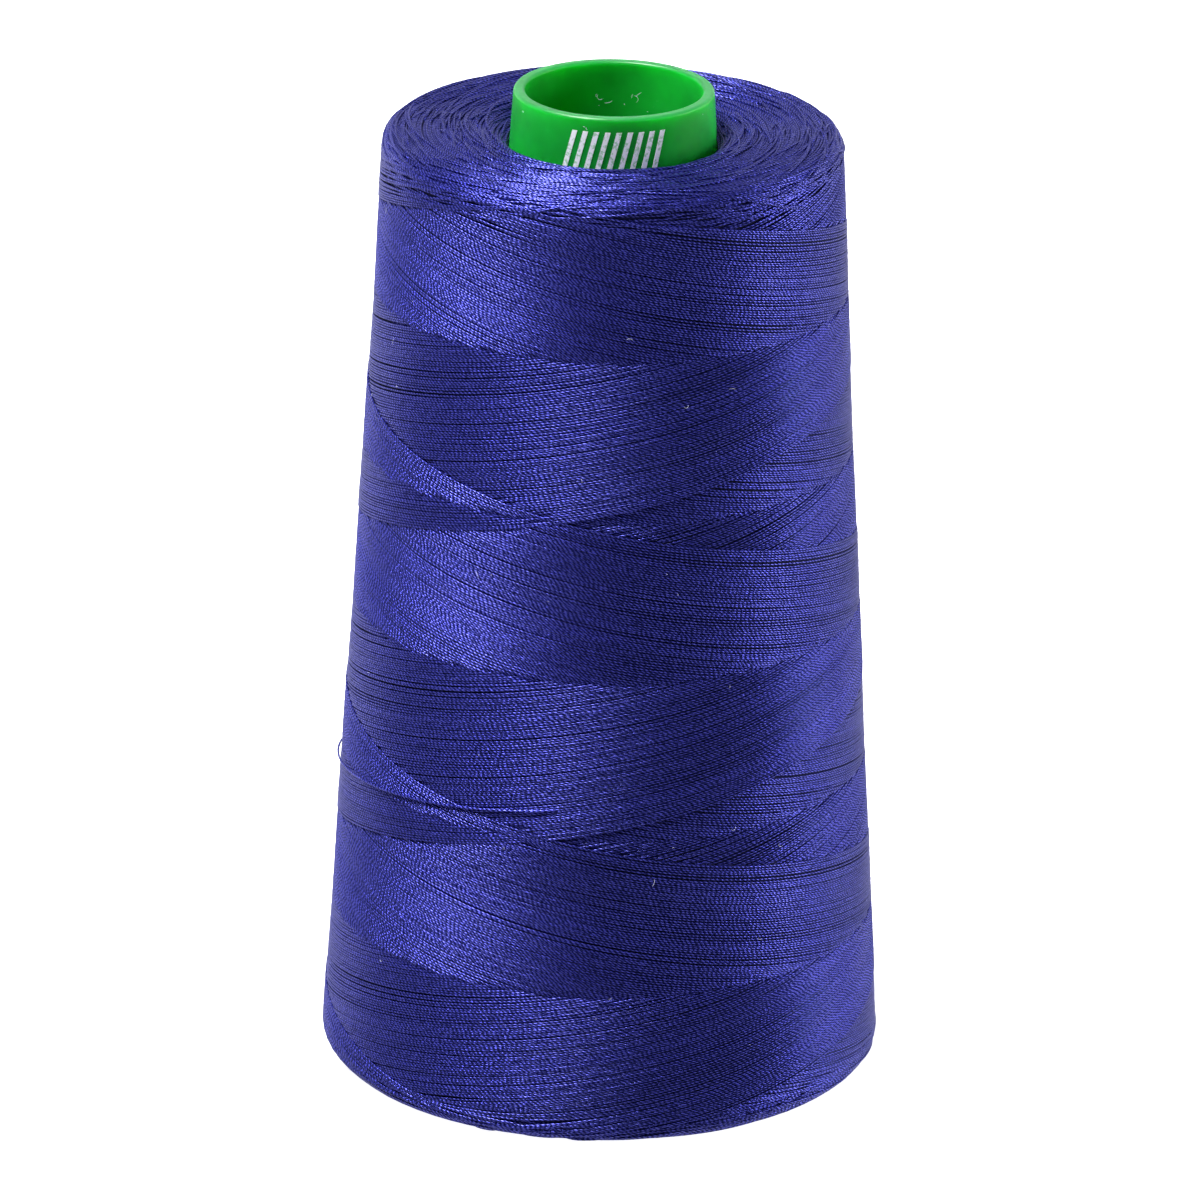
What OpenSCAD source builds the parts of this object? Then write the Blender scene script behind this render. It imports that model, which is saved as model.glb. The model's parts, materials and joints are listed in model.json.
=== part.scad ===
// Cone of quilting thread: a moulded cone tube, the thread wound on it in layers,
// the start bunch in the foot groove, the printed mark on the collar and one slack turn.
// Millimetres, +Z up, origin at the centre of the foot, on the face the cone stands on.

/* [Cone tube] */
// Height of the cone tube, foot to nose rim
core_h = 127; // [100:1:160]
// Half angle of the cone's taper, in degrees
taper = 3.5; // [2.5:0.1:4.5]
// Outer diameter of the tube at the nose rim
nose_d = 24.4; // [20:0.1:32]
// Thickness of the tube's wall
wall = 1.4; // [1:0.1:2]
// Radius of the rounded edges of the nose rim
rim_r = 0.45; // [0.2:0.05:0.48]
// Height of the cylindrical land inside the nose
nose_land_h = 10; // [3:0.5:14]
// How far the foot lip stands out from the tube
foot_lip = 1; // [0.6:0.1:1.6]
// Height of the foot lip
foot_h = 1.2; // [0.8:0.1:2]
// Height of the start groove above the foot lip
start_groove_h = 1.4; // [1:0.1:2]
// Depth of the start groove and of the grip grooves
groove_depth = 0.3; // [0.15:0.05:0.5]
// Height of one grip groove
grip_h = 0.8; // [0.4:0.1:1.2]
// Distance from one grip groove to the next
grip_pitch = 5; // [3:0.5:8]
// Width of the notch that catches the thread's start
notch_w = 1; // [0.6:0.1:1.6]

/* [Winding] */
// Thickness of the wound thread, measured level
wind_t = 15.3; // [8:0.1:20]
// Thickness of the first layers on the tube
first_t = 1.2; // [0.6:0.1:2]
// Thickness of the last layers on the outside
last_t = 1; // [0.6:0.1:2]
// Height of the collar that the winding leaves bare
collar_h = 7.8; // [5:0.1:12]
// Gap between the winding and what the cone stands on
floor_gap = 1.5; // [1:0.1:2.4]
// How high the top end bulges above where it meets the collar
top_bulge = 2.7; // [1:0.1:3.5]
// Height of the rounding at the top shoulder
top_round_h = 2.8; // [2:0.1:5]
// How far the shoulder swells, where the winder reverses
top_swell = 0.25; // [0:0.05:0.6]
// Height of the swollen stretch below the shoulder
swell_h = 22; // [10:1:40]
// Height of the rounding at the bottom edge
bottom_round_h = 2.5; // [1.5:0.1:5]
// Diameter of the thread
thread_d = 0.28; // [0.2:0.01:0.4]

/* [Printed mark] */
// Number of slanted bars in the printed mark
bar_count = 9; // [5:1:13]
// Width of one bar
bar_w = 0.62; // [0.4:0.01:0.8]
// Distance from one bar to the next, around the collar
bar_pitch = 1.35; // [1.2:0.05:1.6]
// Bare rim left above the bars
mark_margin = 1.7; // [1:0.1:2.5]
// Slant of the bars, in degrees
bar_slant = 14; // [0:1:20]
// Thickness of the ink
ink_t = 0.06; // [0.04:0.01:0.1]

/* [Slack turn] */
// Height of the slack turn where it bulges most
slack_z = 39.5; // [30:0.5:80]
// Where it bulges most, in degrees from +X towards +Y
slack_side = 173; // [0:1:359]
// How far the slack turn bulges off the winding
slack_lift = 0.6; // [0.3:0.1:1.5]
// How far the slack turn climbs in one full turn
slack_pitch = 24; // [10:1:40]

/* [Hidden] */
round_fn = 96;      // smoothness of round shapes
slope = tan(taper);
join_gap = 0.02;    // clearance round the start bunch, and under the slack turn
mark_gap = 0.5;     // how far the ink ends above where the winding meets the collar

// Surfaces of the tube
function tube_r(z) = nose_d / 2 + (core_h - z) * slope;
land_r = nose_d / 2 - wall;
land_z = core_h - nose_land_h;
foot_r = tube_r(0) + foot_lip;
groove_z = foot_h + start_groove_h;
grip_z0 = groove_z + grip_pitch;
wind_top_z = core_h - collar_h;
grip_count = floor((wind_top_z - grip_z0) / grip_pitch);
mark_top = core_h - mark_margin;
mark_bottom = wind_top_z + mark_gap;

// Landmarks of the winding's outline, as [radius, height]
function wind_r(z) = tube_r(z) + wind_t;
wind_foot_z = groove_z + 2 * thread_d;
crest_share = [0.28, 0.72];  // where the top end is highest, as shares of the winding's thickness
belly_share = [0.35, 0.68];  // where the bottom end is lowest
crest_in = crest_share[0] * wind_t;
crest_out = crest_share[1] * wind_t;
belly_in = belly_share[0] * wind_t;
belly_out = belly_share[1] * wind_t;
crest_z = wind_top_z + top_bulge;
shoulder_z = crest_z - top_round_h;
swell_z = shoulder_z - swell_h;
edge_z = floor_gap + bottom_round_h;
arc_steps = 10;
// How square each rounded edge is: 2 is a plain ellipse
rim_round = 2;
edge_round = 2.1;
shoulder_round = 3;

// Points on a quarter of a superellipse, from angle a0 to a1, about c with half axes s
function quarter(c, s, a0, a1, p) = [for (i = [0:arc_steps])
    let (a = a0 + (a1 - a0) * i / arc_steps)
    [c[0] + s[0] * sign(cos(a)) * pow(abs(cos(a)), 2 / p),
     c[1] + s[1] * sign(sin(a)) * pow(abs(sin(a)), 2 / p)]];

// A 2D band that follows the tube, from t0 to t1 outside it
module band(t0, t1) {
    polygon([[tube_r(0) + t0, 0], [tube_r(0) + t1, 0],
             [tube_r(core_h) + t1, core_h], [tube_r(core_h) + t0, core_h]]);
}

// Outline of the whole wound package, right of the axis
module winding_outline() {
    top_r = tube_r(wind_top_z);
    foot_tube_r = tube_r(wind_foot_z);
    shoulder_w = wind_r(shoulder_z) + top_swell - top_r - crest_out;
    edge_w = wind_r(edge_z) - foot_tube_r - belly_out;
    polygon(concat(
        [[foot_tube_r, wind_foot_z], [foot_tube_r + belly_in, floor_gap]],
        quarter([foot_tube_r + belly_out, edge_z], [edge_w, bottom_round_h], 270, 360, edge_round),
        [[wind_r(swell_z), swell_z]],
        quarter([top_r + crest_out, shoulder_z], [shoulder_w, top_round_h], 0, 90, shoulder_round),
        quarter([top_r + crest_in, wind_top_z], [crest_in, top_bulge], 90, 180, rim_round)));
}

// The part of the winding from t0 to t1 outside the tube, as a solid
module winding_layer(t0, t1) {
    rotate_extrude($fn = round_fn) intersection() {
        winding_outline();
        band(t0, t1);
    }
}

module cone_tube() {
    color("green") difference() {
        rotate_extrude($fn = round_fn) difference() {
            tube_outline();
            for (i = [0:grip_count - 1]) grip_groove(grip_z0 + i * grip_pitch);
        }
        translate([-notch_w / 2, tube_r(0) - wall / 2, -1]) cube([notch_w, foot_lip + wall, foot_h + 1]);
    }
}

// Cross-section of the tube, without its grip grooves
module tube_outline() {
    rim = core_h - rim_r;
    step = tube_r(land_z) - wall - land_r;
    polygon(concat(
        [[tube_r(0) - wall, 0], [foot_r, 0], [foot_r, foot_h], [tube_r(foot_h) - groove_depth, foot_h],
         [tube_r(groove_z) - groove_depth, groove_z], [tube_r(groove_z), groove_z]],
        quarter([tube_r(rim) - rim_r, rim], [rim_r, rim_r], 0, 90, rim_round),
        quarter([land_r + rim_r, rim], [rim_r, rim_r], 90, 180, rim_round),
        [[land_r, land_z], [land_r + step, land_z - step]]));
}

// One groove around the tube, its floor level with the start groove's
module grip_groove(z) {
    translate([tube_r(z) - groove_depth, z]) square([wall, grip_h]);
}

module first_layers() {
    color("midnightblue") winding_layer(0, first_t);
}

module middle_layers() {
    color("mediumblue") winding_layer(first_t, wind_t - last_t);
}

module outer_layers() {
    color("slateblue") winding_layer(wind_t - last_t, wind_t + wall);
}

// The thread's first turns, laid in the groove above the foot lip
// Two threads thick, and as high as the groove less a clearance above and below
module start_bunch() {
    floor_r = tube_r(foot_h) - groove_depth;
    color("darkblue") rotate_extrude($fn = round_fn)
        translate([floor_r + join_gap, foot_h + join_gap])
            square([2 * thread_d, start_groove_h - 2 * join_gap]);
}

// The mark's bars: slanted prisms cut to a thin cone shell on the collar
module printed_mark() {
    color("white") intersection() {
        difference() {
            cylinder(h = core_h, r1 = tube_r(0) + ink_t, r2 = tube_r(core_h) + ink_t, $fn = round_fn);
            cylinder(h = core_h, r1 = tube_r(0), r2 = tube_r(core_h), $fn = round_fn);
        }
        union() for (i = [0:bar_count - 1]) rotate(bar_angle(i)) slanted_bar();
    }
}

// Where bar i stands around the collar: the row is centred on the front, -Y
function bar_angle(i) = (i - (bar_count - 1) / 2) * bar_pitch / tube_r(core_h) * 180 / PI;

// A leaning prism through the collar's front, from below the rim down to the winding
module slanted_bar() {
    shear_w = bar_w / cos(bar_slant);
    lean = (mark_top - mark_bottom) * tan(bar_slant);
    translate([0, 2 * wall - tube_r(core_h), 0]) rotate([90, 0, 0]) linear_extrude(4 * wall)
        polygon([[-lean / 2 - shear_w / 2, mark_bottom], [-lean / 2 + shear_w / 2, mark_bottom],
                 [lean / 2 + shear_w / 2, mark_top], [lean / 2 - shear_w / 2, mark_top]]);
}

module slack_turn() {
    color("royalblue") tube_along(slack_path, thread_d / 2);
}

// The slack turn's line: it climbs round the cone and stands off it in the middle
slack_span = 166;     // degrees around the cone
slack_steps = 48;
slack_peak = 0.45;    // share of the span at which it bulges most
lift_turns = 1.3;     // how fast the bulge dies away on both sides
slack_path = [for (i = [0:slack_steps])
    let (turn = (i / slack_steps - slack_peak) * slack_span,
         z = slack_z + slack_pitch * turn / 360,
         lift = slack_lift * pow(max(0, cos(lift_turns * turn)), 2),
         r = wind_r(z) + thread_d / 2 + join_gap + lift)
    [r * cos(slack_side + turn), r * sin(slack_side + turn), z]];

// A tube of eight sides along a list of points, closed at both ends
module tube_along(path, r) {
    n = len(path);
    sides = 8;
    rings = [for (i = [0:n - 1])
        let (t = unit(path[min(i + 1, n - 1)] - path[max(i - 1, 0)]),
             u = unit(cross(t, [0, 0, 1])),
             v = cross(t, u))
        for (k = [0:sides - 1]) path[i] + r * (cos(360 * k / sides) * u + sin(360 * k / sides) * v)];
    walls = [for (i = [0:n - 2], k = [0:sides - 1])
        let (a = i * sides, b = a + sides, m = (k + 1) % sides)
        [a + k, a + m, b + m, b + k]];
    polyhedron(rings, concat([[for (k = [0:sides - 1]) sides - 1 - k]], walls,
                             [[for (k = [0:sides - 1]) (n - 1) * sides + k]]));
}

function unit(v) = v / norm(v);

cone_tube();
first_layers();
middle_layers();
outer_layers();
start_bunch();
slack_turn();
printed_mark();
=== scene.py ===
"""A cone of sewing thread: the finish of its moulded tube, and its thread laid turn by turn."""

import json
import math

import bmesh
import bpy
import numpy as np
from bpy.props import FloatProperty, FloatVectorProperty, IntProperty, PointerProperty
from mathutils import Matrix, Vector
from mathutils.geometry import convex_hull_2d

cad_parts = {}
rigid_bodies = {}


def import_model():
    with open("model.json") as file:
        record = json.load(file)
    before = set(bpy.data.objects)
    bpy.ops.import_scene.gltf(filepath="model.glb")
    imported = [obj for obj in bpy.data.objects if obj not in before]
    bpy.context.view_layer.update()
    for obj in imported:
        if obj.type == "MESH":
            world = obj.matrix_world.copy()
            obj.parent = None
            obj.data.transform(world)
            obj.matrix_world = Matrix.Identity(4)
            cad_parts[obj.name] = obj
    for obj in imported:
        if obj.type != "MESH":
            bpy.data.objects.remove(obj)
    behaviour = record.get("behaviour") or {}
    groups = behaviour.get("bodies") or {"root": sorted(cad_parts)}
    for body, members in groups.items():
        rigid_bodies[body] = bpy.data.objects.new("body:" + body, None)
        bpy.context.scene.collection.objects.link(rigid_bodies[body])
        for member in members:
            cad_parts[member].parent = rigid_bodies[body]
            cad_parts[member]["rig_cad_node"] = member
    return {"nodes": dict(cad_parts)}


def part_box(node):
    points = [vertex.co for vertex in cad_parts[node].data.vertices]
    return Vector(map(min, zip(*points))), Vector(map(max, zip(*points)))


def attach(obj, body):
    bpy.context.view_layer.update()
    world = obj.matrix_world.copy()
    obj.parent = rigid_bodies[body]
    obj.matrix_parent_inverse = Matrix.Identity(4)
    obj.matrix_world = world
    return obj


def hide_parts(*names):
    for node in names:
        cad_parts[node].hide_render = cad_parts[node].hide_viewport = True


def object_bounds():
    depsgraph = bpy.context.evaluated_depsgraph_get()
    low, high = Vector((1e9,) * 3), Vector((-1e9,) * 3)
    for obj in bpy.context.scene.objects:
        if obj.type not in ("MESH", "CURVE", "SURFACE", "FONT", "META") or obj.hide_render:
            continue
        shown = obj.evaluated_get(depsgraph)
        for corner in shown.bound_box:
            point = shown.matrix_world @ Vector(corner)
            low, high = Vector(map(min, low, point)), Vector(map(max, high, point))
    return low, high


bl_info = {
    "name": "Cone of sewing thread",
    "version": (1, 0, 0),
    "blender": (4, 5, 0),
    "location": "View3D > Sidebar > Thread",
    "description": "Lays the thread of a cross-wound cone and finishes its tube",
    "category": "Object",
}

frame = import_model()
CAD_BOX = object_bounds()
MM = 0.001
BODY = "root"


# ---- The package's outline, read from the frame's winding solids ----

HULL_REACH = 0.3 * MM    # a ring of vertices this near the hull is on the outside
BORE_REACH = 0.05 * MM   # and one this near the straight bore is not
LEAN = 0.15              # the shoulder begins where the wall leans in more than this


def section_points(*nodes):
    """The (radius, height) of every ring of vertices on these round CAD nodes."""
    found = set()
    for name in nodes:
        for v in frame["nodes"][name].data.vertices:
            found.add((round(math.hypot(v.co.x, v.co.y), 6), round(v.co.z, 6)))
    return np.array(sorted(found))


def from_line(points, a, b):
    """Distance of each point from the stretch between a and b."""
    way = b - a
    share = np.clip((points - a) @ way / (way @ way), 0, 1)
    return np.hypot(*(points - a - share[:, None] * way).T)


class Outline:
    """The winding's outer edge in section, from the foot, round the outside, to the collar."""

    def __init__(self):
        points = section_points("first_layers", "middle_layers", "outer_layers")
        hull = points[convex_hull_2d([Vector(p) for p in points])]
        near = np.min([from_line(points, a, b) for a, b in zip(hull, np.roll(hull, -1, 0))], 0)
        top, foot = points[points[:, 0].argmin()], points[(points[:, 0] + points[:, 1]).argmin()]
        ends = (points == top).all(1) | (points == foot).all(1)
        points = points[(near < HULL_REACH) & ((from_line(points, top, foot) > BORE_REACH) | ends)]
        middle = (top + foot) / 2
        turn = np.arctan2(points[:, 1] - middle[1], points[:, 0] - middle[0])
        self.points = points[np.argsort(turn)]
        steps = np.hypot(*np.diff(self.points, axis=0).T)
        self.along = np.concatenate([[0.0], np.cumsum(steps)])
        widest = self.points[:, 0].argmax()
        crest = self.points[:, 1].argmax()
        lowest = self.points[:, 1].min() + 0.02 * MM
        base = np.flatnonzero(self.points[:widest, 1] < lowest)[-1]
        self.wall = self.points[base:crest + 1]
        self.edge_at = self.along[widest]
        self.top_z = self.points[crest, 1]
        leaning = np.diff(self.wall[:, 0]) < -LEAN * np.diff(self.wall[:, 1])
        self.shoulder_at = self.along[base + leaning.argmax()]

    def wall_radius(self, z):
        """Radius of the wall at height z, the rounding at both its ends included."""
        return np.interp(z, self.wall[:, 1], self.wall[:, 0])

    def at(self, s):
        """Radius, height and outward normal (in section) at distance s along the outline."""
        r = np.interp(s, self.along, self.points[:, 0])
        z = np.interp(s, self.along, self.points[:, 1])
        a, b = s - 0.3 * MM, s + 0.3 * MM
        dr = np.interp(b, self.along, self.points[:, 0]) - np.interp(a, self.along, self.points[:, 0])
        dz = np.interp(b, self.along, self.points[:, 1]) - np.interp(a, self.along, self.points[:, 1])
        length = np.maximum(np.hypot(dr, dz), 1e-9)
        return r, z, dz / length, -dr / length


OUTLINE = Outline()


# ---- Settings ----

class WindingSettings(bpy.types.PropertyGroup):
    """How the thread is laid."""

    thread_d: FloatProperty(name="Thread diameter", description="Diameter of the two-ply thread",
                            default=0.285 * MM, unit="LENGTH", precision=5)
    pitch: FloatProperty(name="Pitch", description="How far a thread climbs in one turn",
                         default=40.2 * MM, unit="LENGTH", precision=4)
    starts: IntProperty(name="Threads per pitch", description="Threads side by side in one pitch",
                        default=130, min=20, max=200)
    front_turn: FloatProperty(name="Front's side", description="Where the two newest threads cross",
                              default=math.radians(-11), subtype="ANGLE")
    front_z: FloatProperty(name="Front's height", description="Height of that crossing",
                           default=81.7 * MM, unit="LENGTH", precision=4)
    growth: FloatProperty(name="Growth", description="Thickness that one full cover adds",
                          default=0.22 * MM, unit="LENGTH", precision=5)
    wander: FloatProperty(name="Wander", description="How far a thread strays from its line",
                          default=0.05 * MM, unit="LENGTH", precision=5)
    ply_step: FloatProperty(name="Ply step", description="Distance between two ply crossings",
                            default=0.62 * MM, unit="LENGTH", precision=5)
    seed: IntProperty(name="Seed", description="Seed of the small irregularities", default=7)


class FinishSettings(bpy.types.PropertyGroup):
    """Colours of the materials."""

    thread: FloatVectorProperty(name="Thread", description="Colour of the thread on a ply's crown",
                                default=(0.080, 0.087, 0.70), subtype="COLOR", min=0, max=1)
    # Painted shade: the near-black blue of the grooves between the plies, for the shade that falls in
    # them.
    groove_shade: FloatVectorProperty(name="Ply groove", description="Colour between the two plies",
                                default=(0.005, 0.008, 0.10), subtype="COLOR", min=0, max=1)
    # Painted shade: the mass seen in the gaps between threads takes this near-black blue, for the shade
    # that falls there.
    depth: FloatVectorProperty(name="Winding's depth", description="Colour seen between threads",
                               default=(0.005, 0.007, 0.085), subtype="COLOR", min=0, max=1)
    sheen: FloatVectorProperty(name="Sheen", description="Tint of the light that the fuzz catches",
                               default=(0.45, 0.45, 1.0), subtype="COLOR", min=0, max=1)
    plastic: FloatVectorProperty(name="Tube", description="Colour of the moulded tube",
                                 default=(0.010, 0.47, 0.045), subtype="COLOR", min=0, max=1)
    worn: FloatVectorProperty(name="Scuffs", description="Colour of the tube's scuffed patches",
                              default=(0.20, 0.66, 0.28), subtype="COLOR", min=0, max=1)
    # Painted shade: the rim's top takes this duller, darker green to hold back the overhead light that
    # falls hard on it. It is not a dulling by handling.
    rim: FloatVectorProperty(name="Rim", description="The plastic on the rim, dulled by handling",
                             default=(0.02, 0.21, 0.055), subtype="COLOR", min=0, max=1)
    edge: FloatVectorProperty(name="Thread edge", description="Tint of a thread seen edge on",
                              default=(0.6, 0.6, 1.0), subtype="COLOR", min=0, max=1)
    ink: FloatVectorProperty(name="Ink", description="Colour of the printed bars",
                             default=(0.95, 0.98, 0.98), subtype="COLOR", min=0, max=1)


class StudioSettings(bpy.types.PropertyGroup):
    """Camera and light."""

    distance: FloatProperty(name="Distance", description="From the camera to the cone",
                            default=1.040, unit="LENGTH")
    tilt: FloatProperty(name="Tilt", description="How far the camera looks down",
                        default=math.radians(21.15), subtype="ANGLE")
    roll: FloatProperty(name="Roll", description="How far the camera leans",
                        default=math.radians(0.888), subtype="ANGLE")
    lens: FloatProperty(name="Focal length", description="On a 36 mm sensor, in millimetres",
                        default=251.4)
    key: FloatProperty(name="Key light", description="Power of the overhead softbox",
                       default=26.0, unit="POWER")
    right: FloatProperty(name="Right card", description="Power of the card at the right",
                         default=6.5, unit="POWER")
    right_rear: FloatProperty(name="Right rear card", description="Power of the card behind, right",
                              default=1.9, unit="POWER")
    left_rear: FloatProperty(name="Left rear card", description="Power of the card behind, left",
                             default=1.0, unit="POWER")
    back: FloatProperty(name="Back wall", description="Brightness behind the cone", default=0.7)
    below: FloatProperty(name="Below", description="Brightness of what lies below", default=0.82)


# ---- Materials ----

class Wire:
    """A socket's value in a node tree. Arithmetic on it adds Math nodes."""

    def __init__(self, tree, socket):
        self.tree, self.socket = tree, socket

    def math(self, operation, *values):
        node = self.tree.nodes.new("ShaderNodeMath")
        node.operation = operation
        for slot, value in zip(node.inputs, values):
            plug(self.tree, slot, value)
        return Wire(self.tree, node.outputs[0])

    def __add__(self, other):
        return self.math("ADD", self, other)

    def __radd__(self, other):
        return self.math("ADD", other, self)

    def __sub__(self, other):
        return self.math("SUBTRACT", self, other)

    def __rsub__(self, other):
        return self.math("SUBTRACT", other, self)

    def __mul__(self, other):
        return self.math("MULTIPLY", self, other)

    def __rmul__(self, other):
        return self.math("MULTIPLY", other, self)

    def __pow__(self, other):
        return self.math("POWER", self, other)

    def cos(self):
        return self.math("COSINE", self)

    def at_least(self, other):
        return self.math("MAXIMUM", self, other)

    def ramp(self, low, high):
        """0 below low and 1 above high, smooth between them."""
        node = self.tree.nodes.new("ShaderNodeMapRange")
        node.interpolation_type = "SMOOTHSTEP"
        for slot, value in zip(node.inputs, (self, low, high, 0.0, 1.0)):
            plug(self.tree, slot, value)
        return Wire(self.tree, node.outputs[0])


def plug(tree, slot, value):
    """Links a wire into a socket, or sets the socket to a number, a colour or a vector."""
    if isinstance(value, Wire):
        tree.links.new(value.socket, slot)
    elif slot.type == "RGBA":
        slot.default_value = (*value[:3], 1.0)
    else:
        slot.default_value = value


class Finish:
    """A Principled material under construction."""

    def __init__(self, name, constants):
        self.material = bpy.data.materials.new(name)
        self.material.use_nodes = True
        self.tree = self.material.node_tree
        self.shader = self.tree.nodes["Principled BSDF"]
        for socket, value in constants.items():
            plug(self.tree, self.shader.inputs[socket], value)

    def node(self, kind, settings, inputs, output=0):
        """Adds a node: its settings first, then its sockets, and returns one of its outputs."""
        node = self.tree.nodes.new("ShaderNode" + kind)
        for name, value in settings.items():
            setattr(node, name, value)
        for name, value in inputs.items():
            plug(self.tree, node.inputs[name], value)
        return Wire(self.tree, node.outputs[output])

    def noise(self, where, scale, detail=2.0, roughness=0.5):
        """Smooth noise from 0 to 1, with scale lumps to a metre."""
        return self.node("TexNoise", {}, {"Vector": where, "Scale": scale, "Detail": detail,
                                          "Roughness": roughness})

    def mix(self, factor, low, high):
        """Blends two colours."""
        return self.node("Mix", {"data_type": "RGBA"}, {0: factor, 6: low, 7: high}, 2)

    def place(self, scale=(1.0, 1.0, 1.0)):
        """The point's own place on the object, in metres, stretched by scale."""
        place = self.node("TexCoord", {}, {}, 3)
        return self.node("Mapping", {}, {"Vector": place, "Scale": scale})

    def bump(self, height, distance, strength=1.0):
        return self.node("Bump", {}, {"Height": height, "Distance": distance, "Strength": strength})

    def drive(self, **wires):
        """Feeds wires into the shader (colour, roughness, coat, normal) and returns the material."""
        names = {"colour": "Base Color", "roughness": "Roughness", "normal": "Normal",
                 "coat": "Coat Weight"}
        for name, wire in wires.items():
            plug(self.tree, self.shader.inputs[names[name]], wire)
        return self.material


def thread_material(name, shade=1.0):
    """Two-ply mercerised cotton: plies cross the thread aslant. Its colour has a painted highlight on
    each ply's top and painted shade in the grooves between plies.
    """
    colours = bpy.context.scene.thread_finish
    finish = Finish(name, {"Metallic": 0.75, "Specular Tint": colours.edge, "Coat Roughness": 0.31,
                           "Sheen Weight": 0.08, "Sheen Roughness": 0.4, "Sheen Tint": colours.sheen})
    strand = finish.node("UVMap", {"uv_map": "Strand"}, {})
    around = finish.node("SeparateXYZ", {}, {0: strand}, 0)
    along = finish.node("SeparateXYZ", {}, {0: strand}, 1)
    tone = finish.node("Attribute", {"attribute_name": "tone"}, {}, 2)
    fibres = finish.noise(finish.place(), 9000.0, 1.0)
    # Painted glints: random noise that brightens spots of the plies' colour, as sparkle of light.
    painted_glints = finish.noise(finish.place(), 3200.0, 1.0)
    ply = (2.0 * math.pi * (2.0 * around - along)).cos() * 0.5 + 0.5
    # The ply tops: in the colour this mask paints a highlight on them and shade between them. It also
    # makes them smoother and coated.
    crown_highlight = (ply + (fibres - 0.5) * 0.5 + (painted_glints - 0.5) * 1.9).ramp(0.25, 1.0)
    # shade scales the thread's colours: below 1 it paints shade on a copy of the thread, and above 1 it
    # paints light.
    bright = [shade * c for c in colours.thread]
    dark = [shade * c for c in colours.groove_shade]
    shaded = finish.mix(tone, dark, bright)
    colour = finish.mix(crown_highlight, dark, shaded)
    return finish.drive(colour=colour, roughness=0.41 - crown_highlight * 0.1, coat=crown_highlight * 0.75,
                        normal=finish.bump(ply + fibres * 0.4, 0.025 * MM))


def gap_shade_material():
    """The mass of thread under the outer turns, seen only between them, in painted shade far darker
    than the thread.
    """
    colours = bpy.context.scene.thread_finish
    finish = Finish("wound_mass", {"Specular IOR Level": 0.2, "Sheen Weight": 0.1})
    turns = finish.noise(finish.place((160.0, 160.0, 5200.0)), 1.0, 3.0)
    darker = [0.4 * c for c in colours.depth]
    return finish.drive(colour=finish.mix(turns.ramp(0.3, 0.7), darker, colours.depth),
                        roughness=0.7 + turns * 0.2,
                        normal=finish.bump(turns, 0.12 * MM))


def plastic_material():
    """Moulded plastic: mottled green, with painted shade and a glossy coat on the rim's top, and pale
    scuffs and scratches.
    """
    colours = bpy.context.scene.thread_finish
    finish = Finish("green_plastic", {"Specular IOR Level": 0.12, "Coat Roughness": 0.3,
                                      "Subsurface Weight": 0.8,
                                      "Subsurface Radius": (0.3, 1.0, 0.4),
                                      "Subsurface Scale": 6.0 * MM})
    place = finish.place()
    height = finish.node("SeparateXYZ", {}, {0: place}, 2)
    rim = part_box("cone_tube")[1].z
    scuff = finish.noise(place, 900.0, 4.0, 0.65)
    patches = finish.noise(place, 130.0, 3.0)
    scratches = finish.noise(finish.place((500.0, 500.0, 5000.0)), 1.0, 2.0)
    # The band of the rim's top. Its colour is painted shade, for the overhead light it catches, and it
    # is also given a glossy coat.
    edge = height.ramp(rim - 0.45 * MM, rim - 0.02 * MM)
    wear = scuff.ramp(0.68, 0.76) * patches.ramp(0.5, 0.7) * 0.5
    deep = [0.6 * c for c in colours.plastic]
    body = finish.mix(patches.ramp(0.25, 0.8), deep, colours.plastic)
    body = finish.mix(edge, body, colours.rim)
    return finish.drive(colour=finish.mix(wear, body, colours.worn),
                        roughness=0.34 + scratches * 0.12, coat=edge * (0.3 + scuff * 0.6),
                        normal=finish.bump(scuff * 0.5 + scratches, 0.02 * MM, 0.5))


def ink_material():
    """Screen-printed ink: thin, a little patchy, so that the plastic shows through."""
    colours = bpy.context.scene.thread_finish
    finish = Finish("white_ink", {"Specular IOR Level": 0.4})
    grain = finish.noise(finish.place(), 1700.0, 4.0, 0.7)
    through = [0.45 * i + 0.55 * p for i, p in zip(colours.ink, colours.plastic)]
    return finish.drive(colour=finish.mix(grain.ramp(0.38, 0.52), through, colours.ink),
                        roughness=0.45 + grain * 0.2,
                        normal=finish.bump(grain, 0.01 * MM))


def lint_material():
    """Loose pale fibres."""
    finish = Finish("lint", {"Roughness": 0.8, "Sheen Weight": 0.3})
    tint = finish.noise(finish.place(), 700.0)
    return finish.drive(colour=finish.mix(tint, (0.45, 0.47, 0.8), (0.9, 0.92, 1.0)))


def set_finish(thing, material):
    """Gives a piece or a CAD node one material."""
    thing.data.materials.clear()
    thing.data.materials.append(material)


# ---- Thread made from paths ----

SIDES = 6                # sides of a thread's section
END_TAPER = (0.0, 0.7)   # radius of a run's first two points, as a share of the thread's
TURN_POINTS = 80         # points in one full turn
BAKE_ROWS = 1024         # rows of the square that OFBake lays the threads out on
MERGE = 0.002 * MM       # points nearer than this are one


def ring_place(turn, r, z):
    """Points at these turns (0 at the front, growing to the right), radii and heights."""
    angle = 2 * math.pi * turn
    return np.stack([r * np.sin(angle), -r * np.cos(angle), z], -1)


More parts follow.
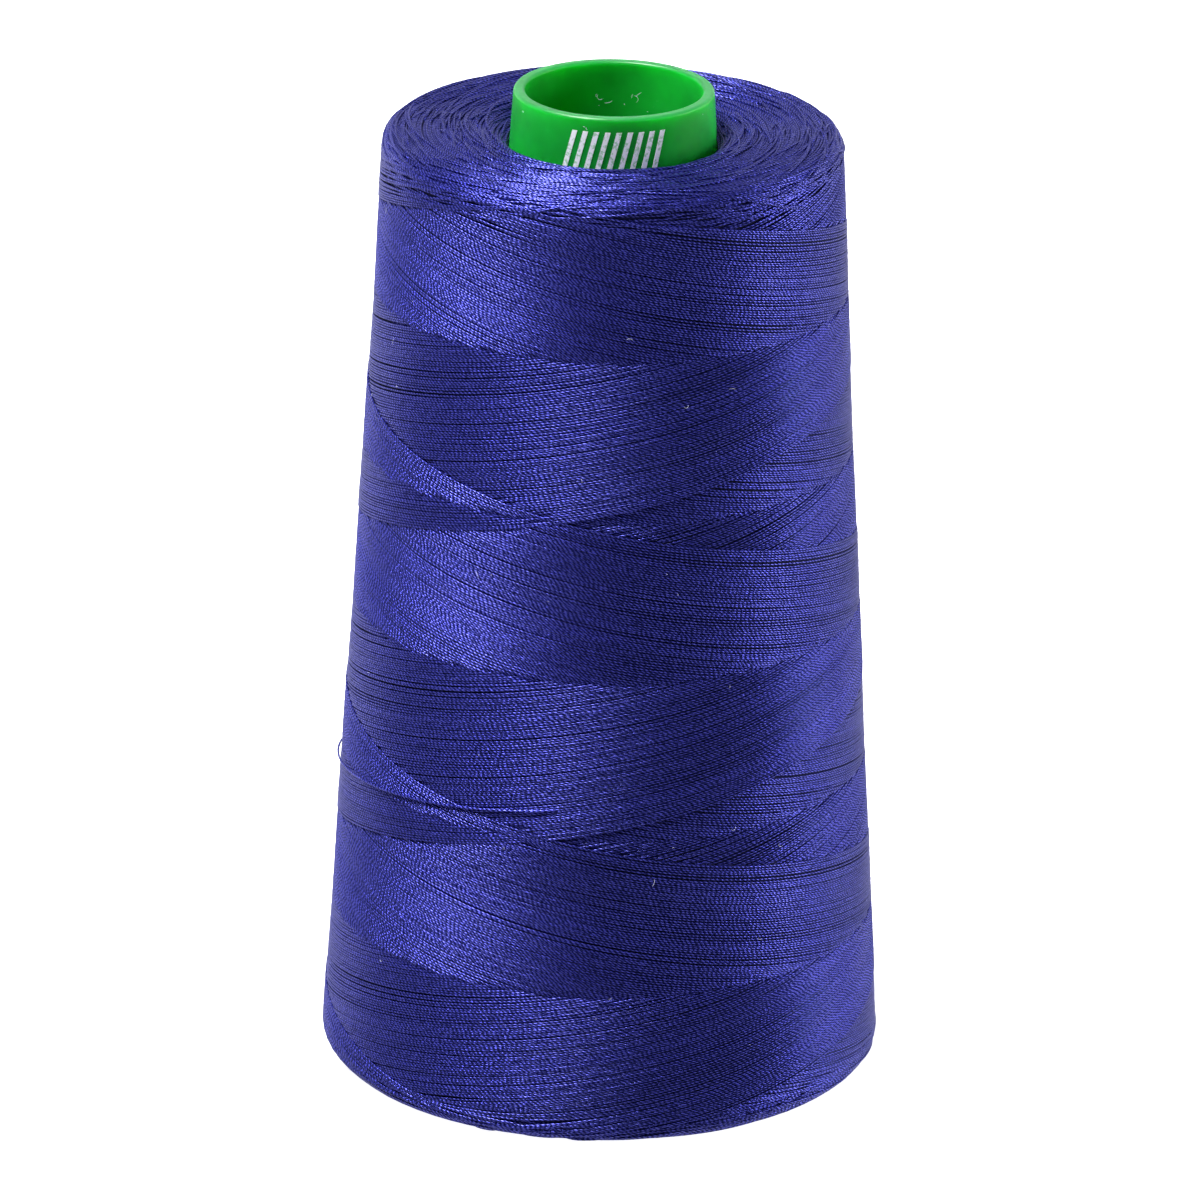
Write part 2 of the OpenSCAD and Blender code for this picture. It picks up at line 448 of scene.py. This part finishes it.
def thread_piece(name, runs, diameter, rng, tones=None):
    """One mesh of closed round threads, one along each run of points.

    It carries two UV maps: Strand holds how far round the thread and how many ply steps along
    it a point lies, and OFBake lays the threads out side by side. The attribute tone varies
    from thread to thread.
    """
    curve = bpy.data.curves.new(name, "CURVE")
    curve.dimensions = "3D"
    curve.bevel_depth = diameter / 2
    curve.bevel_resolution = 1
    for run in runs:
        spline = curve.splines.new("POLY")
        spline.points.add(len(run) - 1)
        spline.points.foreach_set("co", np.pad(run, ((0, 0), (0, 1)), constant_values=1).ravel())
        thickness = np.ones(len(run))
        for i, share in enumerate(END_TAPER):
            thickness[i] = thickness[-1 - i] = share
        spline.points.foreach_set("radius", thickness)
    source = bpy.data.objects.new(name, curve)
    bpy.context.scene.collection.objects.link(source)
    graph = bpy.context.evaluated_depsgraph_get()
    mesh = bpy.data.meshes.new_from_object(source.evaluated_get(graph))
    bpy.data.objects.remove(source)
    bpy.data.curves.remove(curve)
    mesh.name = name
    map_threads(mesh, runs, rng, tones)
    close_threads(mesh)
    piece = bpy.data.objects.new(name, mesh)
    bpy.context.scene.collection.objects.link(piece)
    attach(piece, BODY)
    return piece


def map_threads(mesh, runs, rng, tones):
    """Writes the threads' UV maps and their tones."""
    counts = np.array([len(run) for run in runs])
    first = np.concatenate([[0], np.cumsum(counts)])[:-1]
    ring_run = np.repeat(np.arange(len(runs)), counts)
    steps = [np.concatenate([[0.0], np.cumsum(np.linalg.norm(np.diff(run, axis=0), axis=1))])
             for run in runs]
    step = bpy.context.scene.thread_winding.ply_step
    along = np.concatenate([s / (step * (0.88 + 0.24 * rng.random())) + rng.random() * 50
                            for s in steps])
    corner = np.empty(len(mesh.loops), np.int32)
    mesh.loops.foreach_get("vertex_index", corner)
    ring, side = corner // SIDES, corner % SIDES
    quads = ring.reshape(-1, 4)
    low = quads.min(1).repeat(4)
    wraps = (side.reshape(-1, 4).max(1) - side.reshape(-1, 4).min(1) > 1).repeat(4)
    turn = side + np.where(wraps & (side == 0), SIDES, 0)
    strand = np.stack([turn / SIDES, along[ring]], -1)
    segment = low - ring_run[low]
    band = SIDES + 1.0
    per_row = math.ceil((len(along) - len(runs)) / int(BAKE_ROWS // (SIDES + 1)))
    across = (segment % per_row + (ring - low)) / per_row
    up = (segment // per_row * band + 0.5 + turn) / BAKE_ROWS
    for title, uv in (("Strand", strand), ("OFBake", np.stack([across, up], -1))):
        layer = mesh.uv_layers.new(name=title)
        layer.data.foreach_set("uv", uv.astype(np.float32).ravel())
    mesh.uv_layers.remove(mesh.uv_layers["UVMap"])
    tones = 0.72 + 0.28 * rng.random(len(runs)) if tones is None else tones
    tone = mesh.attributes.new("tone", "FLOAT", "POINT")
    tone.data.foreach_set("value", np.repeat(tones, counts * SIDES).astype(np.float32))


def close_threads(mesh):
    """Merges each tapered end to a point and shades the threads smooth."""
    shape = bmesh.new()
    shape.from_mesh(mesh)
    bmesh.ops.remove_doubles(shape, verts=shape.verts, dist=MERGE)
    bmesh.ops.recalc_face_normals(shape, faces=shape.faces)
    for face in shape.faces:
        face.smooth = True
    shape.to_mesh(mesh)
    shape.free()


# ---- The cross-wound wall ----

MEAN_AGE = 0.3           # age of the cover that lies on the outline itself
UNEVEN = 0.10            # how unevenly the threads lie, as a share of their spacing
GAP_SHARE = 0.17         # share of the threads that leave a gap to the next
GAP = (0.16, 0.34)       # the narrowest gap, and how much wider it may be
REVERSAL = 0.9 * MM      # height over which a thread turns back at an end
DIP = 0.72               # how far a thread sinks under the other cover, in thread diameters
END_DIP = 0.45           # and how far at most where it turns back
SHORTEST = 5             # runs with no more points than this are left out


class Laying:
    """Where the rising and falling threads of the outermost cover lie, and how old each is."""

    def __init__(self, seed_shift=0):
        self.settings = bpy.context.scene.thread_winding
        self.rng = np.random.default_rng(self.settings.seed + seed_shift)
        self.pitch = self.settings.pitch
        self.front = self.settings.front_turn / (2 * math.pi)

    def ages(self, turn, z):
        """Age of the rising and the falling cover at a place: 0 is newest, 1 a full cover old."""
        ahead = turn - self.front
        rise = (z - self.settings.front_z) / self.pitch
        return np.mod(rise - ahead, 1.0), np.mod(-rise - ahead, 1.0)

    def thread_ages(self):
        """Ages of the threads side by side. A few leave a wider gap to the next."""
        n = self.settings.starts
        width = 1 + UNEVEN * self.rng.random(n)
        gaps = self.rng.random(n) < GAP_SHARE
        width[gaps] += GAP[0] + GAP[1] * self.rng.random(gaps.sum())
        return np.cumsum(width) / width.sum() - width[0] / width.sum()

    def stray(self, turn, age):
        """How far a thread lies above or below its ideal line: its own part and a shared one."""
        total = np.zeros_like(turn)
        for waves in (1.3, 2.9, 5.7):
            total += np.sin(2 * math.pi * (waves * turn + self.rng.random())) / waves ** 0.5
        shared = np.sin(2 * math.pi * (0.7 * turn + 3 * age))
        shared = shared + np.sin(2 * math.pi * (1.9 * turn - 5 * age))
        return self.settings.wander * (0.6 * total + 1.6 * shared)

    def line(self, age, rising):
        """One thread from end to end: its turns, its heights, and how far it is held back in mm."""
        low = OUTLINE.points[:, 1].min() + (1.0 + 2.6 * self.rng.random()) * MM
        high = OUTLINE.top_z - (0.35 + 3.4 * self.rng.random() ** 1.3) * MM
        over = (1.5 + 3.5 * self.rng.random(2)) * MM
        count = int((high - low + over.sum()) / self.pitch * TURN_POINTS)
        straight = np.linspace(low - over[0], high + over[1], count)
        lift = (straight - self.settings.front_z) / self.pitch
        turn = self.front + (lift - age if rising else -lift - age)
        z = straight + REVERSAL * np.logaddexp(0, (low - straight) / REVERSAL)
        z = z - REVERSAL * np.logaddexp(0, (z - high) / REVERSAL)
        z = z + self.stray(turn, age)
        return turn, z, np.abs(straight - z) / MM

    def runs(self, rising):
        """The stretches of each thread that show, with those just under the other cover."""
        thread = self.settings.thread_d
        made = []
        for age in self.thread_ages():
            turn, z, held_back = self.line(age, rising)
            other = self.ages(turn, z)[1 if rising else 0]
            turning = held_back > 0.5
            under = (age > other) & ~turning
            shows = grown((age < other + 0.05) | turning, 2)
            depth = thread / 2 + self.settings.growth * (age - MEAN_AGE) + 0.03 * MM * self.rng.random()
            depth = depth + np.where(under, DIP * thread, 0.0)
            depth = depth + np.where(turning, END_DIP * thread * self.rng.random(), 0.0)
            points = ring_place(turn, OUTLINE.wall_radius(z) - depth, z)
            made += [points[a:b] for a, b in stretches(shows) if b - a > SHORTEST]
        return made


def grown(mask, n):
    """The mask, with n more places set on each side of every stretch."""
    spread = mask.copy()
    for i in range(1, n + 1):
        spread[i:] |= mask[:-i]
        spread[:-i] |= mask[i:]
    return spread


def stretches(mask):
    """(start, end) of each stretch of set places."""
    edges = np.flatnonzero(np.diff(np.concatenate([[0], mask.astype(int), [0]])))
    return list(zip(edges[::2], edges[1::2]))


def lay_cover(label, rising, parts=3):
    """Lays one family of threads, in a few pieces from the newest to the oldest."""
    laying = Laying(0 if rising else 1)
    runs = laying.runs(rising)
    material = thread_material(label)
    total = sum(len(points) for points in runs)
    groups, size = [[]], 0
    for points in runs:
        if size > total / parts:
            groups.append([])
            size = 0
        groups[-1].append(points)
        size += len(points)
    for i, group in enumerate(groups):
        piece = thread_piece(f"{label}_{i + 1}", group, laying.settings.thread_d, laying.rng)
        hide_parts("outer_layers")
        set_finish(piece, material)


# ---- The mass under the threads ----

MASS_STEPS = 240         # steps of the mass round the cone
MASS_RISE = 0.6 * MM     # and how far apart its rings lie up the wall
MASS_WALL = 0.4 * MM     # how far it reaches into the tube
MASS_DEPTH = 1.25        # how deep it lies under the outline, in thread diameters
MASS_END_DEPTH = 0.35    # and how much deeper at the ends


class THREAD_OT_wound_mass(bpy.types.Operator):
    """Make the mass of thread under the outer turns"""

    bl_idname = "thread.wound_mass"
    bl_label = "Wound mass"

    def execute(self, context):
        settings = context.scene.thread_winding
        laying = Laying()
        shape = bmesh.new()
        s = np.concatenate([np.linspace(0, OUTLINE.edge_at, 24),
                            np.arange(OUTLINE.edge_at, OUTLINE.shoulder_at, MASS_RISE)[1:],
                            np.linspace(OUTLINE.shoulder_at, OUTLINE.along[-1], 30)])
        r, z, out_r, out_z = OUTLINE.at(s)
        inside = [OUTLINE.points[i] - np.array([MASS_WALL, 0]) for i in (-1, 0)]
        section = [shape.verts.new((0, -rr, zz)) for rr, zz in [*zip(r, z), *inside]]
        edges = [shape.edges.new(pair) for pair in zip(section, section[1:] + section[:1])]
        bmesh.ops.spin(shape, geom=section + edges, axis=(0, 0, 1), cent=(0, 0, 0),
                       angle=2 * math.pi, steps=MASS_STEPS, use_merge=True)
        bmesh.ops.remove_doubles(shape, verts=shape.verts, dist=0.001 * MM)
        co = np.array([v.co for v in shape.verts])
        radius = np.hypot(co[:, 0], co[:, 1])
        near = np.abs(radius[:, None] - r) + np.abs(co[:, 2, None] - z)
        ring = near.argmin(1)
        outside = near.min(1) < 0.01 * MM
        age = np.minimum(*laying.ages(np.arctan2(co[:, 0], -co[:, 1]) / (2 * math.pi), co[:, 2]))
        sink = settings.thread_d * MASS_DEPTH
        sink = sink + settings.growth * (age - MEAN_AGE) * np.abs(out_r[ring])
        sink += settings.thread_d * MASS_END_DEPTH * np.abs(out_z[ring])
        outward = co[:, :2] / radius[:, None] * out_r[ring, None]
        way = np.column_stack([outward, out_z[ring]])
        for v, place in zip(shape.verts, np.where(outside[:, None], co - way * sink[:, None], co)):
            v.co = place
        bmesh.ops.recalc_face_normals(shape, faces=shape.faces)
        for face in shape.faces:
            face.smooth = True
        mesh = bpy.data.meshes.new("wound_mass")
        shape.to_mesh(mesh)
        shape.free()
        piece = bpy.data.objects.new("wound_mass", mesh)
        context.scene.collection.objects.link(piece)
        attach(piece, BODY)
        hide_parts("first_layers", "middle_layers", "outer_layers")
        set_finish(piece, gap_shade_material())
        return {"FINISHED"}


# ---- The threads ----

class THREAD_OT_rising_threads(bpy.types.Operator):
    """Lay the threads that climb to the right"""

    bl_idname = "thread.rising_threads"
    bl_label = "Rising threads"

    def execute(self, context):
        lay_cover("rising_threads", True)
        return {"FINISHED"}


class THREAD_OT_falling_threads(bpy.types.Operator):
    """Lay the threads that fall to the right"""

    bl_idname = "thread.falling_threads"
    bl_label = "Falling threads"

    def execute(self, context):
        lay_cover("falling_threads", False)
        return {"FINISHED"}


ARC = (5, 35)            # length in mm of the shortest arc on an end, and how much longer one may be
ARC_STEP = 2.2 * MM      # distance between the points of an arc
ARC_SLANT = 0.07         # spread of the arcs' slant
ARC_DIVE = 0.9 * MM      # how deep the ends of an arc dive
TOP_ARCS = 680
BOTTOM_ARCS = 330


def end_turns(name, s_low, s_high, count, seed):
    """The turns where the thread reverses, which show on an end of the package as arcs."""
    settings = bpy.context.scene.thread_winding
    rng = np.random.default_rng(settings.seed + seed)
    runs = []
    for s in np.arange(s_low, s_high, settings.thread_d * 1.02):
        turn = rng.random() + np.linspace(0, 1.01, TURN_POINTS)
        waves = np.sin(2 * math.pi * (turn + rng.random()))
        waves = waves + np.sin(4 * math.pi * (turn + rng.random()))
        r, z, out_r, out_z = OUTLINE.at(s + 0.05 * MM * waves)
        sunk = settings.thread_d * (1.1 + 0.12 * waves)
        runs.append(ring_place(turn, r - out_r * sunk, z - out_z * sunk))
    for i in range(count):
        middle = s_low + (s_high - s_low) * (i + rng.random()) / count
        length = (ARC[0] + ARC[1] * rng.random() ** 2) * MM
        start = rng.random()
        t = np.linspace(-1, 1, 9 + int(length / ARC_STEP))
        slant = rng.normal() * ARC_SLANT * length
        s = middle + slant * t - (0.15 + 0.3 * rng.random()) * MM * t ** 2
        r, z, out_r, out_z = OUTLINE.at(np.clip(s, 0.0, OUTLINE.along[-1]))
        sunk = settings.thread_d * (0.1 + 0.9 * rng.random()) + ARC_DIVE * np.abs(t) ** 3.2
        turn = start + length * t / (4 * math.pi * r)
        runs.append(ring_place(turn, r - out_r * sunk, z - out_z * sunk))
    piece = thread_piece(name, runs, settings.thread_d, rng)
    # Painted shade: the turns on both ends take the thread's colours darkened to 0.82, which tones down
    # the highlight that the top catches.
    set_finish(piece, thread_material(name, 0.82))
    return piece


class THREAD_OT_end_turns(bpy.types.Operator):
    """Lay the turns that show on the top and bottom of the package"""

    bl_idname = "thread.end_turns"
    bl_label = "End turns"

    def execute(self, context):
        top = end_turns("top_turns", OUTLINE.shoulder_at + 0.2 * MM, OUTLINE.along[-1] - 0.1 * MM,
                        TOP_ARCS, 11)
        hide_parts("middle_layers", "first_layers")
        bottom = end_turns("bottom_turns", 0.1 * MM, OUTLINE.edge_at + 0.8 * MM, BOTTOM_ARCS, 12)
        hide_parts("middle_layers")
        return {"FINISHED"}


SLACK_FROM = -0.475      # turn at which the slack stretch starts, and how much of a turn it covers
SLACK_SPAN = 0.46
SLACK_MIDDLE = 0.45      # where along it the bulge is highest, as a share of it
SLACK_SQUEEZE = 1.9      # how much shorter the bulge is than half a turn
SLACK_BULGE = 0.2 * MM   # how far the bulge stands off the winding
SLACK_TUCK = 0.5 * MM    # how deep its two ends are tucked in


class THREAD_OT_slack_turn(bpy.types.Operator):
    """Lay the stretch of thread that has come a little loose"""

    bl_idname = "thread.slack_turn"
    bl_label = "Slack turn"

    def execute(self, context):
        settings = context.scene.thread_winding
        low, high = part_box("slack_turn")
        rng = np.random.default_rng(settings.seed + 21)
        t = np.linspace(0, 1, 60)
        turn = SLACK_FROM + SLACK_SPAN * t
        z = low.z + (high.z - low.z) * t
        way = (t - SLACK_MIDDLE) * SLACK_SQUEEZE * 2 * math.pi * SLACK_SPAN
        bulge = np.cos(np.clip(way, -math.pi / 2, math.pi / 2)) ** 2
        off = settings.thread_d * 0.55 + SLACK_BULGE * bulge
        off -= SLACK_TUCK * np.clip(np.abs(t - 0.5) * 2 - 0.9, 0, 1) * 10
        run = ring_place(turn, OUTLINE.wall_radius(z) + off, z)
        piece = thread_piece("slack_thread", [run], settings.thread_d, rng, np.array([1.0]))
        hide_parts("slack_turn")
        # Painted light: the slack thread takes the thread's colours brightened to 1.15.
        set_finish(piece, thread_material("slack_thread", 1.15))
        return {"FINISHED"}


BUNCH_TURNS = 4          # turns in each of the bunch's two layers


class THREAD_OT_start_bunch(bpy.types.Operator):
    """Lay the thread's first turns, in the groove above the foot lip"""

    bl_idname = "thread.start_bunch"
    bl_label = "Start bunch"

    def execute(self, context):
        settings = context.scene.thread_winding
        low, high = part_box("start_bunch")
        rng = np.random.default_rng(settings.seed + 31)
        half = settings.thread_d / 2
        runs = []
        for layer in range(2):
            t = np.linspace(0, 1, BUNCH_TURNS * TURN_POINTS)
            r = high.x - half - (1 - layer) * 1.6 * half
            z = low.z + half + (high.z - low.z - 2 * half) * (t if layer else 1 - t)
            runs.append(ring_place(BUNCH_TURNS * t + 0.1 * layer, np.full_like(t, r), z))
        piece = thread_piece("start_turns", runs, settings.thread_d, rng)
        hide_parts("start_bunch")
        set_finish(piece, thread_material("start_turns"))
        return {"FINISHED"}


class THREAD_OT_tube(bpy.types.Operator):
    """Finish the moulded tube and its printed mark"""

    bl_idname = "thread.tube"
    bl_label = "Tube and print"

    def execute(self, context):
        set_finish(frame["nodes"]["cone_tube"], plastic_material())
        set_finish(frame["nodes"]["printed_mark"], ink_material())
        return {"FINISHED"}


# ---- Loose fibres ----

FIBRE_D = 0.05 * MM
FIBRE_POINTS = 9
FIBRE_LENGTH = 0.2       # length of the shortest fibre, in mm
# how many, their range of turn in degrees and of height in mm, and how much longer one may be in mm
BORE_LINT = (9, (145, 205), (120.5, 123.5), 1.8)
COLLAR_LINT = (12, (-180, 180), (125.7, 126.0), 0.3)
WOUND_LINT = (75, (-180, 180), (5, 116), 1.1)
COLLAR_H = 10 * MM       # the collar is the tube's top, down to this
COLLAR_WALL = 1.2 * MM   # and its outside lies more than this off its bore


def fibre(rng, degrees, z, length, surface, side=1):
    """A curled loose fibre on a round surface, whose radius at a height is surface(z).

    Side is 1 for a fibre on the outside of the surface and -1 for one on the inside.
    """
    bend, heading = 3.5 * rng.random(), 7 * rng.random()
    t = np.linspace(-0.5, 0.5, FIBRE_POINTS)
    across = np.cumsum(np.cos(heading + bend * t)) * length / FIBRE_POINTS
    up = np.cumsum(np.sin(heading + bend * t)) * length / FIBRE_POINTS
    hump = 0.02 * MM + 0.1 * MM * (1 - (2 * t) ** 2) * rng.random()
    r = surface(z + up) + side * hump
    return ring_place(degrees / 360 + across / (2 * math.pi * r), r, z + up)


def scattered(rng, lint):
    """Turn in degrees, height and length of each loose fibre of one kind."""
    count, turns, heights, longer = lint
    return [(rng.uniform(*turns), rng.uniform(*heights) * MM,
             (FIBRE_LENGTH + longer * rng.random() ** 2) * MM) for _ in range(count)]


class THREAD_OT_lint(bpy.types.Operator):
    """Scatter a few loose fibres"""

    bl_idname = "thread.lint"
    bl_label = "Lint"

    def execute(self, context):
        settings = context.scene.thread_winding
        rng = np.random.default_rng(settings.seed + 41)
        collar = section_points("cone_tube")
        collar = collar[collar[:, 1] > collar[:, 1].max() - COLLAR_H]
        bore = collar[:, 0].min()
        outer = collar[collar[:, 0] > bore + COLLAR_WALL]
        outer = outer[outer[:, 1].argsort()]
        runs = [fibre(rng, *spot, lambda z: bore, -1) for spot in scattered(rng, BORE_LINT)]
        runs += [fibre(rng, *spot, lambda z: np.interp(z, outer[:, 1], outer[:, 0]))
                 for spot in scattered(rng, COLLAR_LINT)]
        runs += [fibre(rng, *spot, OUTLINE.wall_radius) for spot in scattered(rng, WOUND_LINT)]
        piece = thread_piece("lint", runs, FIBRE_D, rng)
        set_finish(piece, lint_material())
        return {"FINISHED"}


# ---- Stage, light and camera ----

STAGE_SIZE = 6.0         # half the floor's side, and the backdrop's radius, in metres
FLOOR_GLOW = 1.0         # the floor shines plain white, and shows no shadow
LAMP_DISTANCE = 1.1      # from each softbox to the cone, in metres
LAMP_SIZE = 0.45         # side of each softbox, in metres
AIM = (-0.75, 0, 60.45)  # where the camera looks, in mm


class THREAD_OT_studio(bpy.types.Operator):
    """Set the floor, the lights and the camera"""

    bl_idname = "thread.studio"
    bl_label = "Studio"

    def execute(self, context):
        studio = context.scene.thread_studio
        lay_stage()
        light_cone(studio)
        aim_camera(context.scene, studio)
        context.scene.view_settings.view_transform = "Standard"
        return {"FINISHED"}


def stage_piece(name, shape, material):
    """A piece of the stage, which lights the cone with nothing of its own."""
    mesh = bpy.data.meshes.new(name)
    shape.to_mesh(mesh)
    shape.free()
    piece = bpy.data.objects.new(name, mesh)
    bpy.context.scene.collection.objects.link(piece)
    mesh.materials.append(material)
    piece.visible_diffuse = piece.visible_glossy = piece.visible_transmission = False
    return piece


def lay_stage():
    """A wide pale floor, and a white backdrop all round it."""
    finish = Finish("white_floor", {"Specular IOR Level": 0.0, "Emission Color": (1, 1, 1),
                                    "Emission Strength": FLOOR_GLOW})
    cloud = finish.noise(finish.place(), 3.0)
    paper = finish.drive(colour=finish.mix(cloud, (0.86, 0.86, 0.87), (0.88, 0.88, 0.88)),
                         roughness=0.85 + cloud * 0.1)
    shape = bmesh.new()
    bmesh.ops.create_grid(shape, x_segments=8, y_segments=8, size=STAGE_SIZE)
    stage_piece("floor", shape, paper)
    white = Finish("white_backdrop", {"Base Color": (0, 0, 0), "Specular IOR Level": 0.0,
                                      "Emission Color": (1, 1, 1), "Emission Strength": 1.0})
    shape = bmesh.new()
    bmesh.ops.create_uvsphere(shape, u_segments=48, v_segments=24, radius=STAGE_SIZE)
    stage_piece("backdrop", shape, white.material).visible_shadow = False


def softbox(name, towards, power):
    """A square area light that shines on the middle of the cone from a direction."""
    light = bpy.data.lights.new(name, "AREA")
    light.size = LAMP_SIZE
    light.energy = power
    lamp = bpy.data.objects.new(name, light)
    bpy.context.scene.collection.objects.link(lamp)
    lamp.visible_camera = False
    way = Vector(towards).normalized()
    middle = Vector((0, 0, CAD_BOX[1].z / 2))
    turn = way.to_track_quat("Z", "Y").to_matrix().to_4x4()
    lamp.matrix_world = Matrix.Translation(middle + way * LAMP_DISTANCE) @ turn


def light_cone(studio):
    """An overhead softbox a little to the left, and white cards beside, behind and below."""
    softbox("key_softbox", (-0.35, -0.10, 0.91), studio.key)
    softbox("right_card", (0.98, 0.0, 0.2), studio.right)
    softbox("right_rear_card", (0.85, 0.52, 0.07), studio.right_rear)
    softbox("left_rear_card", (-0.7, 0.7, 0.1), studio.left_rear)
    world = bpy.data.worlds.new("white_cards")
    world.use_nodes = True
    tree = world.node_tree
    where = tree.nodes.new("ShaderNodeTexCoord")
    parts = tree.nodes.new("ShaderNodeSeparateXYZ")
    tree.links.new(where.outputs["Generated"], parts.inputs[0])
    y, z = (Wire(tree, parts.outputs[i]) for i in (1, 2))
    above = z.ramp(-0.02, 0.02)
    glow = above * (y.at_least(0.0) ** 2.0) * studio.back + (1.0 - above) * studio.below
    plug(tree, tree.nodes["Background"].inputs["Strength"], glow)
    tree.nodes["Background"].inputs["Color"].default_value = (1, 1, 1, 1)
    bpy.context.scene.world = world


def aim_camera(scene, studio):
    """A long lens, looking down at the cone's middle from the front."""
    data = bpy.data.cameras.new("camera")
    data.lens = studio.lens
    data.sensor_width = 36
    data.clip_end = 50
    camera = bpy.data.objects.new("camera", data)
    scene.collection.objects.link(camera)
    aim = Vector(AIM) * MM
    back = Vector((0, -math.cos(studio.tilt), math.sin(studio.tilt)))
    turn = back.to_track_quat("Z", "Y").to_matrix().to_4x4()
    camera.matrix_world = (Matrix.Translation(aim + back * studio.distance) @ turn
                           @ Matrix.Rotation(studio.roll, 4, "Z"))
    scene.camera = camera


class THREAD_PT_panel(bpy.types.Panel):
    """Lists the steps that make the cone"""

    bl_idname = "THREAD_PT_panel"
    bl_label = "Thread cone"
    bl_space_type = "VIEW_3D"
    bl_region_type = "UI"
    bl_category = "Thread"

    def draw(self, context):
        for group in ("thread_winding", "thread_finish", "thread_studio"):
            settings = getattr(context.scene, group)
            box = self.layout.box()
            for name in settings.__annotations__:
                box.prop(settings, name)
        for step in STEPS:
            self.layout.operator(step.bl_idname)


SETTINGS = {"thread_winding": WindingSettings, "thread_finish": FinishSettings,
            "thread_studio": StudioSettings}
STEPS = (THREAD_OT_tube, THREAD_OT_wound_mass, THREAD_OT_rising_threads,
         THREAD_OT_falling_threads, THREAD_OT_end_turns, THREAD_OT_slack_turn,
         THREAD_OT_start_bunch, THREAD_OT_lint, THREAD_OT_studio)


def register():
    for name, group in SETTINGS.items():
        bpy.utils.register_class(group)
        setattr(bpy.types.Scene, name, PointerProperty(type=group))
    for step in (*STEPS, THREAD_PT_panel):
        bpy.utils.register_class(step)


def unregister():
    for step in reversed((*STEPS, THREAD_PT_panel)):
        bpy.utils.unregister_class(step)
    for name, group in SETTINGS.items():
        delattr(bpy.types.Scene, name)
        bpy.utils.unregister_class(group)


def main():
    register()
    for step in STEPS:
        group, name = step.bl_idname.split(".")
        getattr(getattr(bpy.ops, group), name)()


if __name__ == "__main__":
    main()
